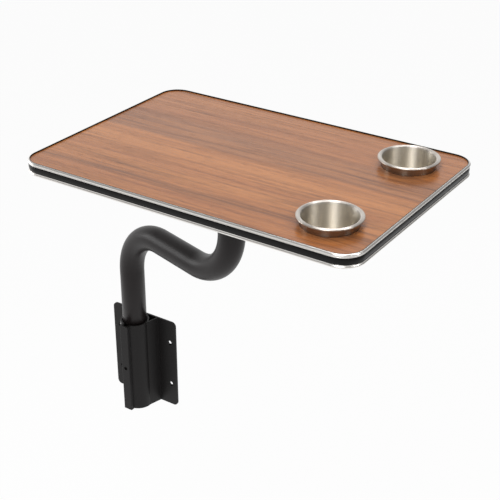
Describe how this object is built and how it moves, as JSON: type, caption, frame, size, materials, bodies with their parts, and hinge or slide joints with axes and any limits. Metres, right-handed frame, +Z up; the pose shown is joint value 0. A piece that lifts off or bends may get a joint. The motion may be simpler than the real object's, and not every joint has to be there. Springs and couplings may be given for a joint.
{
  "type": "adjustable swing-arm table",
  "caption": "Wall-hung camper table on an S-bent tube: clamp bracket, swivelling wood-finish top with bright edge trim and steel cup holders, adjustable in height.",
  "frame": {"origin": "middle of the bracket's wall face, centred between its four screw holes", "axes": "+X along the wall and along the table's long edge at rest, +Y into the wall, +Z up"},
  "size_m": [0.8014, 0.4223, 0.7551],
  "materials": {
    "bracket_black": "black anodised",
    "tube_black": "satin charcoal powder coat",
    "nylon_black": "matte",
    "black_steel": "black oxide",
    "plated_steel": "zinc plated",
    "wood_top": "satin wood laminate",
    "trim_black": "satin vinyl",
    "trim_bright": "bright",
    "cup_steel": "brushed"
  },
  "bodies": {
    "wall_bracket": {"wall_bracket": "bracket_black", "upper_socket_bush": "nylon_black", "lower_socket_bush": "nylon_black", "socket_stop_plug": "nylon_black", "clamp_nut": "plated_steel", "clamp_shoe": "nylon_black"},
    "clamp_screw": {"clamp_screw": "black_steel"},
    "height_carriage": {"glide_foot": "nylon_black", "thrust_washer": "nylon_black"},
    "arm": {"arm_tube": "tube_black", "tube_foot_plug": "nylon_black", "tube_top_plug": "nylon_black"},
    "tabletop": {"tabletop_panel": "wood_top", "edge_moulding": "trim_black", "upper_bright_strip": "trim_bright", "lower_bright_strip": "trim_bright", "front_cup": "cup_steel", "rear_cup": "cup_steel", "swivel_flange": "tube_black", "upper_hub_bush": "nylon_black", "lower_hub_bush": "nylon_black", "thrust_disc": "nylon_black", "lock_pad": "nylon_black", "flange_screws": "plated_steel"},
    "lock_screw": {"lock_screw": "black_steel"}
  },
  "joints": [
    {"name": "arm_height", "type": "slide", "parent": "wall_bracket", "child": "height_carriage", "axis": [0, 0, 1], "range_m": [0, 0.07]},
    {"name": "arm_swivel", "type": "hinge", "parent": "height_carriage", "child": "arm", "pos_m": [0, -0.0343, 0], "axis": [0, 0, 1], "range_deg": [-163, 16]},
    {"name": "table_swivel", "type": "hinge", "parent": "arm", "child": "tabletop", "pos_m": [0.31542, -0.12713, 0.6], "axis": [0, 0, 1], "continuous": true},
    {"name": "clamp_screw_turn", "type": "hinge", "parent": "wall_bracket", "child": "clamp_screw", "pos_m": [0, -0.067, 0], "axis": [0, -1, 0], "range_deg": [0, 360]},
    {"name": "lock_screw_turn", "type": "hinge", "parent": "tabletop", "child": "lock_screw", "pos_m": [0.31542, -0.165, 0.5526], "axis": [0, -1, 0], "range_deg": [0, 360]}
  ]
}
